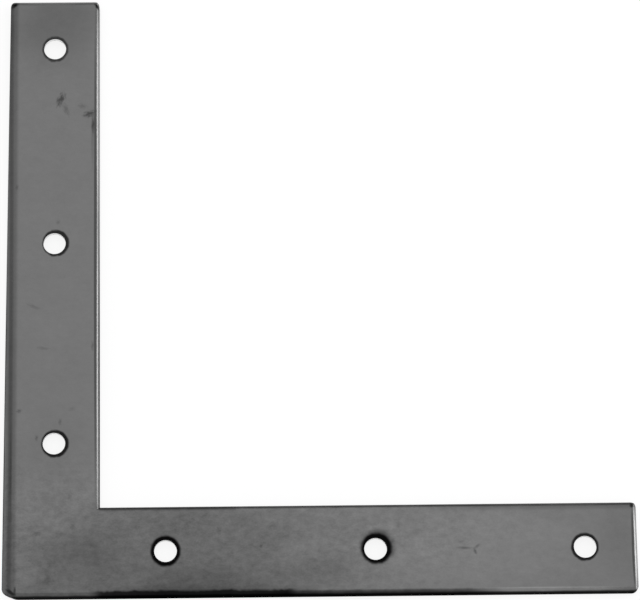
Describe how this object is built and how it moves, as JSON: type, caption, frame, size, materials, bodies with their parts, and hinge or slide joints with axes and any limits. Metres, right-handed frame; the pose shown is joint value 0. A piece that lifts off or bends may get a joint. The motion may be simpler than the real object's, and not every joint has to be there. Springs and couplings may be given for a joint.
{
  "type": "flat corner brace",
  "caption": "Flat L-shaped steel corner brace with equal arms, rolled front edges and a row of punched screw holes in each arm.",
  "frame": {"origin": "where the two lines of screw holes cross at the heel, on the flat back face that lies on the surface", "axes": "+X along one arm, +Y along the other arm, +Z out of the front face that the screw heads sit on; as in the picture, +X is the lower arm and +Y the upright one"},
  "size_m": [0.1539, 0.1524, 0.003],
  "materials": {
    "steel": "dull satin, dark grey mill finish"
  },
  "bodies": {
    "root": {"corner_plate": "steel"}
  },
  "joints": []
}
